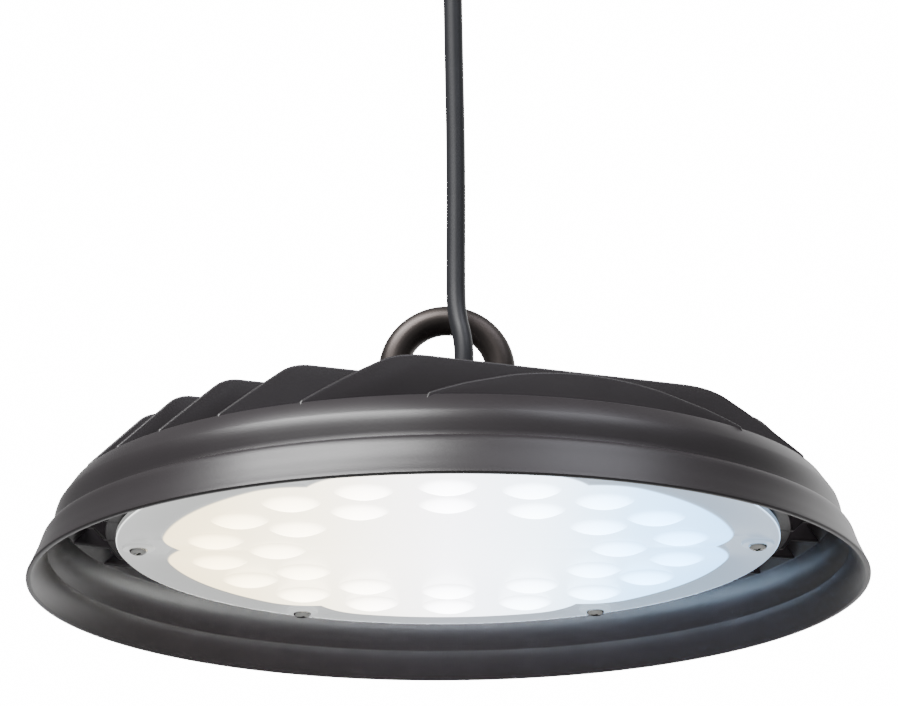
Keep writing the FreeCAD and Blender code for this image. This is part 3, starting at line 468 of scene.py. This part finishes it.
# Driver: a round laminate board on four standoffs inside the hub, with its transformer,
# capacitors, choke, power switches and terminal block. The hub cover closes over it.
for node, finish, tones, *grades in (
    ("driver_board", "glass_laminate", ("1f4a2c", "265533"), 10, 0.4, 0.6, 0.01),
    ("driver_standoffs", "turned_brass", ("a88a45", "bb9c55"), 3, 0.3, 0.4, 0.005, 1.0),
    ("driver_screws", "zinc_plated_screw_steel", ("a4a5a1", "b9bab6"), 3, 0.3, 0.4, 0.005, 1.0),
    ("transformer", "ferrite_and_tape", ("3a3833", "46433c"), 5, 0.6, 0.8, 0.03),
    ("capacitors", "shrink_sleeve", ("1c1d22", "24262d"), 5, 0.35, 0.6, 0.01),
    ("choke", "sintered_ferrite", ("2c2b2b", "353434"), 3, 0.65, 0.5, 0.02),
    ("power_switches", "moulded_epoxy", ("1a1a1a", "222222"), 3, 0.5, 0.5, 0.01),
    ("terminal_block", "green_polyamide", ("2f6b45", "37774e"), 5, 0.5, 0.6, 0.01),
    ("led_leads", "lead_insulation", ("b8b8b4", "c6c6c2"), 3, 0.5, 0.5, 0.01),
    ("lead_grommet", "grommet_silicone", ("6a6a6a", "767676"), 4, 0.7, 0.5, 0.01),
    ("inner_core_brown", "brown_core_rubber_inside", ("5a3420", "653c26"), 4, 0.55, 0.5, 0.01),
    ("inner_core_blue", "blue_core_rubber_inside", ("23457e", "2a4f8e"), 4, 0.55, 0.5, 0.01),
    ("inner_core_green_yellow", "earth_core_rubber_inside", ("7f9a2c", "8da836"),
     4, 0.55, 0.5, 0.01),
):
    coat(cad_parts[node], surface(finish, tones, *grades))


# Hub cover: a die-cast disc in the same powder coat, sealed by a flat silicone gasket and
# held by six screws. It carries the lifting eye, the cable gland and a breather.
COVER_SECTION = [
    (POLE, 48), (14.5, 48), (14.5, 51), (71, 51), (71, 54), (69.5, 55.5), (58.0, 55.5),
    (57.2, 55.0), (55.8, 55.0), (55.0, 55.5), (20.0, 55.5), (POLE, 55.5),
]
COVER_SCREWS = [(65, math.radians(30 + 60 * i)) for i in range(6)]
COVER_SCREW_SECTION = [
    (POLE, 38), (2.0, 38), (2.0, 55.5), (3.8, 55.5), (3.8, 56.8), (3.2, 57.6), (2.2, 57.9),
    (POLE, 57.9),
]
cover_disc = edge_rounds(turned("cover_disc", COVER_SECTION, 144), 0.4, 2)
cover = joined("hub_cover_casting", [cover_disc])
coat(cover, powder_coat)
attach(cover, "root")
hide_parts("hub_cover")
coat(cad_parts["cover_gasket"], silicone)
cover_screws = joined("cover_screw_set", [
    cross_head("cover_screw", COVER_SCREW_SECTION, 57.9, 4.4, 1.3, around(circle, turn))
    for circle, turn in COVER_SCREWS
])
coat(cover_screws, stainless)
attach(cover_screws, "root")
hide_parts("cover_screws")


# Lifting eye: a drop-forged steel eye bolt. The ring runs into the neck and the collar in
# soft forged fillets, and a washer and a nut hold its shank under the cover.
EYE_HEIGHT, RING_RADIUS, ROD_RADIUS = 90.1, 22.0, 6.1
bpy.ops.object.select_all(action="DESELECT")
bpy.ops.mesh.primitive_torus_add(
    major_radius=RING_RADIUS * MM, minor_radius=ROD_RADIUS * MM,
    major_segments=128, minor_segments=40,
)
ring = bpy.context.object
ring.data.transform(
    Matrix.Translation((0, 0, level_of(EYE_HEIGHT))) @ Matrix.Rotation(math.pi / 2, 4, "X")
)
STEM_SECTION = [
    (POLE, 38.5), (5.6, 38.5), (6.0, 39.0), (6.0, 55.5), (13.0, 55.5), (13.0, 58.2), (11.8, 59.6),
    (9.8, 60.8), (8.6, 62.4), (7.8, 64.6), (7.4, 68.0), (POLE, 68.0),
]
stem = turned("eye_stem", STEM_SECTION, 72)
eye = joined("eye_forging", [ring, stem])
forged = eye.modifiers.new("forged", "REMESH")
forged.mode, forged.voxel_size = "VOXEL", 0.55 * MM
bpy.ops.object.modifier_apply(modifier=forged.name)
eased = eye.modifiers.new("eased", "SMOOTH")
eased.factor, eased.iterations = 0.5, 10
bpy.ops.object.modifier_apply(modifier=eased.name)
bpy.ops.object.shade_smooth()
# Forged steel, blackened and oiled: a dark even metal with long soft highlights over a
# slightly uneven forged skin.
black_steel = surface(
    "blackened_forged_steel", ("4c4745", "57514f"), 14, 0.46, 5.0, 0.012, metallic=1.0
)
coat(eye, black_steel)
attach(eye, "root")
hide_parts("eye_bolt")
for node in ("eye_washer", "eye_nut"):
    coat(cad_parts[node], black_steel)


# Cable gland: a moulded nylon gland beside the eye. Its hexagonal body seals on the cover,
# and its domed nut squeezes a rubber seal round the cord.
GLAND = (6.8, -27.2)
GLAND_NECK = [(POLE, 44.5), (7.6, 44.5), (8.0, 45.0), (8.0, 66.5), (7.5, 67.0), (POLE, 67.0)]
NUT_SECTION = [
    (4.2, 60.3), (9.4, 60.3), (9.6, 60.8), (9.6, 67.8), (9.3, 69.6), (8.4, 71.6), (7.0, 73.2),
    (5.8, 73.8), (4.2, 73.8),
]


def hexagon(name, flats, low, high):
    """A six-sided prism about the gland's axis."""
    bpy.ops.object.select_all(action="DESELECT")
    bpy.ops.mesh.primitive_cylinder_add(
        vertices=6, radius=flats / math.sqrt(3) * MM, depth=(high - low) * MM
    )
    prism = bpy.context.object
    prism.name = name
    prism.data.transform(
        Matrix.Translation((GLAND[0] * MM, GLAND[1] * MM, level_of((low + high) / 2)))
        @ Matrix.Rotation(math.pi / 6, 4, "Z")
    )
    return prism


nylon = surface("moulded_black_nylon", ("191a1c", "202124"), 6, 0.42, 0.7, 0.015)
body = joined("gland_body_moulding", [
    edge_rounds(hexagon("gland_hex", 21.0, 55.5, 60.0), 0.6),
    edge_rounds(turned("gland_neck", GLAND_NECK, 64, GLAND), 0.2, 2),
])
nut = joined("gland_nut_moulding", [
    edge_rounds(hexagon("nut_hex", 20.0, 60.3, 67.8), 0.7),
    turned("nut_dome", NUT_SECTION, 64, GLAND),
])
for piece, node in ((body, "gland_body"), (nut, "gland_dome_nut")):
    coat(piece, nylon)
    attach(piece, "root")
    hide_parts(node)
coat(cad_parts["gland_locknut"], nylon)
rubber_seal = surface("nitrile_rubber", ("1c1c1d", "242425"), 5, 0.6, 0.5, 0.01)
for node in ("gland_o_ring", "gland_seal"):
    coat(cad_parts[node], rubber_seal)


# Breather: a moulded nylon plug, pushed into the cover, with a membrane inside that lets the
# driver space breathe.
BREATHER_SECTION = [
    (POLE, 47.5), (6.0, 47.5), (6.0, 55.5), (8.5, 55.5), (8.5, 58.6), (8.0, 59.6), (6.2, 60.4),
    (4.0, 60.5), (3.6, 60.0), (POLE, 60.0),
]
breather_plug = turned("breather", BREATHER_SECTION, 48, (-34.0, -12.0))
breather = joined("breather_moulding", [breather_plug])
coat(breather, nylon)
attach(breather, "root")
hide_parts("breather_plug")


# Cord: a round three-core rubber cord of 7.8 mm. It rises out of the gland, leans against
# the front of the eye and goes up out of view, where it ends stripped and ferruled for the
# ceiling's terminal box.
CORD_DIAMETER = 7.8
CORD_ROUTE = [
    (*GLAND, -62.5), (*GLAND, -26.0), (7.1, -26.6, -12.0), (3.9, -23.6, 2.0),
    (3.9, -21.6, 20.0), (4.4, -18.6, 67.8), (3.7, -16.8, 122.8), (3.2, -16.0, 176.8),
]
line = bpy.data.curves.new("cord_line", "CURVE")
line.dimensions = "3D"
spline = line.splines.new("NURBS")
spline.points.add(len(CORD_ROUTE) - 1)
for point, (x, y, z) in zip(spline.points, CORD_ROUTE):
    point.co = (x * MM, y * MM, z * MM, 1)
spline.order_u = 3
spline.use_endpoint_u = True
spline.resolution_u = 24
line.bevel_depth = CORD_DIAMETER / 2 * MM
line.bevel_resolution = 10
line.use_fill_caps = True
cord = bpy.data.objects.new("cord_line", line)
bpy.context.collection.objects.link(cord)
# Dull chloroprene rubber, blue-black, with the faint dusty bloom that such a jacket gets.
jacket = surface("chloroprene_rubber", ("1d1e23", "26272c"), 14, 0.42, 0.7, 0.02)
line.materials.append(jacket)
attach(cord, "root")
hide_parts("cord_jacket")
for node, tones in (
    ("core_brown", ("5f3621", "6c4028")),
    ("core_blue", ("24488a", "2b529a")),
    ("core_green_yellow", ("86a22c", "95b136")),
):
    coat(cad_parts[node], surface(node + "_rubber", tones, 4, 0.5, 0.5, 0.01))
tinned = surface("tinned_copper", ("b4b3ae", "c5c4bf"), 3, 0.3, 0.4, 0.01, metallic=1.0)
coat(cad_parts["core_ferrules"], tinned)


# The studio: a plain pale floor far below the hanging light, a pale backdrop all round that is
# brighter behind the light, one large soft light above on the left and a weaker one above on
# the right.
CAMERA_SPOT, CAMERA_TILT, CAMERA_ROLL = (0.0009, -1.7613, -0.5515), math.radians(107.16), -0.00721
BEHIND = (0.35, 0.93, 0.1)
FLOOR_RADIUS, FLOOR_LEVEL = 14, -4.5
bpy.ops.object.select_all(action="DESELECT")
bpy.ops.mesh.primitive_circle_add(
    vertices=96, radius=FLOOR_RADIUS, fill_type="NGON", location=(0, 0, FLOOR_LEVEL)
)
floor = bpy.context.object
floor.name = "floor"
coat(floor, surface("pale_floor_paint", ("e9e9e9", "eeeeee"), 900, 0.8, 20, 0.1))
for name, spot, length, width, power, tint in (
    ("key_softbox", (-1.05, -1.25, 1.9), 2.0, 0.6, 130, "ffffff"),
    ("fill_softbox", (1.15, -1.0, 1.85), 1.2, 1.0, 20, "f4f6ff"),
):
    light = bpy.data.lights.new(name, "AREA")
    light.shape, light.size, light.size_y = "RECTANGLE", length, width
    light.energy, light.color = power, linear(tint)[:3]
    lamp = bpy.data.objects.new(name, light)
    lamp.location = spot
    lamp.rotation_euler = (-Vector(spot)).to_track_quat("-Z", "Y").to_euler()
    bpy.context.collection.objects.link(lamp)
world = bpy.data.worlds.new("studio")
bpy.context.scene.world = world
world.use_nodes = True
tree = world.node_tree
tree.nodes.clear()
way = add(tree, "ShaderNodeTexCoord", {}).outputs["Generated"]
facing = add(tree, "ShaderNodeVectorMath", {0: way, 1: BEHIND}, operation="DOT_PRODUCT")
shine = add(
    tree, "ShaderNodeMapRange",
    {"Value": facing.outputs["Value"], "From Min": 0.6, "From Max": 1.0,
     "To Min": 0.3, "To Max": 2.0},
    interpolation_type="SMOOTHSTEP",
)
studio = add(
    tree, "ShaderNodeBackground",
    {"Color": linear("ffffff"), "Strength": shine.outputs["Result"]},
)
backdrop = add(tree, "ShaderNodeBackground", {"Color": linear("ffffff"), "Strength": 16.0})
seen = add(tree, "ShaderNodeLightPath", {}).outputs["Is Camera Ray"]
mixed = add(
    tree, "ShaderNodeMixShader",
    {0: seen, 1: studio.outputs["Background"], 2: backdrop.outputs["Background"]},
)
add(tree, "ShaderNodeOutputWorld", {"Surface": mixed.outputs["Shader"]})
lens_of_camera = bpy.data.cameras.new("camera")
lens_of_camera.sensor_width, lens_of_camera.lens = 36, 180.4
camera = bpy.data.objects.new("camera", lens_of_camera)
camera.matrix_world = (
    Matrix.Translation(CAMERA_SPOT)
    @ Matrix.Rotation(CAMERA_TILT, 4, "X")
    @ Matrix.Rotation(CAMERA_ROLL, 4, "Z")
)
bpy.context.collection.objects.link(camera)
bpy.context.scene.camera = camera
